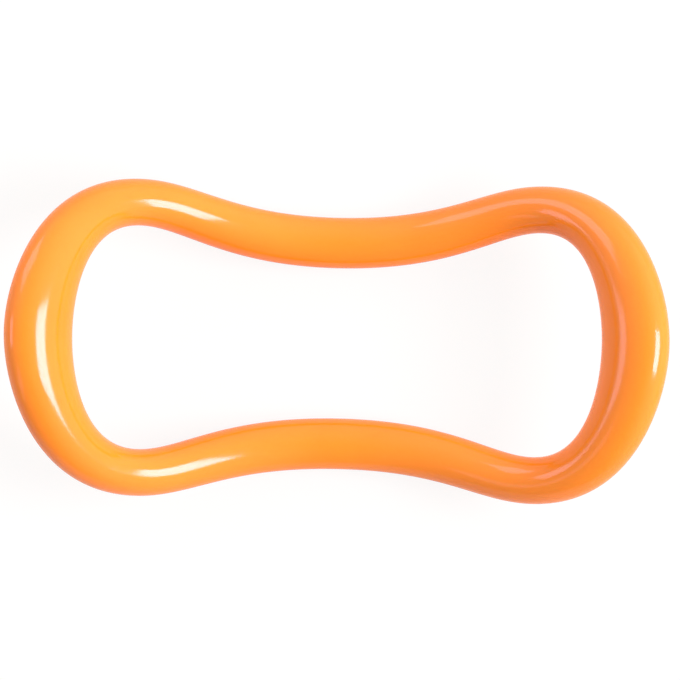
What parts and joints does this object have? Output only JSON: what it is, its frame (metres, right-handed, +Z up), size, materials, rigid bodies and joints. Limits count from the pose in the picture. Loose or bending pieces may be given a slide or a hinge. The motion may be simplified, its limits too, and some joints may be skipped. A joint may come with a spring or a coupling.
{
  "type": "yoga ring",
  "caption": "Rigid peanut-shaped yoga ring: a hollow, bowed tube of glossy plastic with broad ends and a drawn-in waist, held by its ends or slipped over a calf.",
  "frame": {"origin": "middle of the ring, on the plane that the middle of its two rails rests on", "axes": "+X along the ring's length, +Y across it, +Z up, the way the two ends curve, which is the side that faces the camera in the picture"},
  "size_m": [0.2344, 0.1144, 0.0665],
  "materials": {
    "upper_shell": "polished orange",
    "lower_shell": "polished orange",
    "seam_cement": "set cement"
  },
  "bodies": {
    "root": {"upper_shell": "upper_shell", "lower_shell": "lower_shell", "outer_seam_bead": "seam_cement", "inner_seam_bead": "seam_cement"}
  },
  "joints": []
}
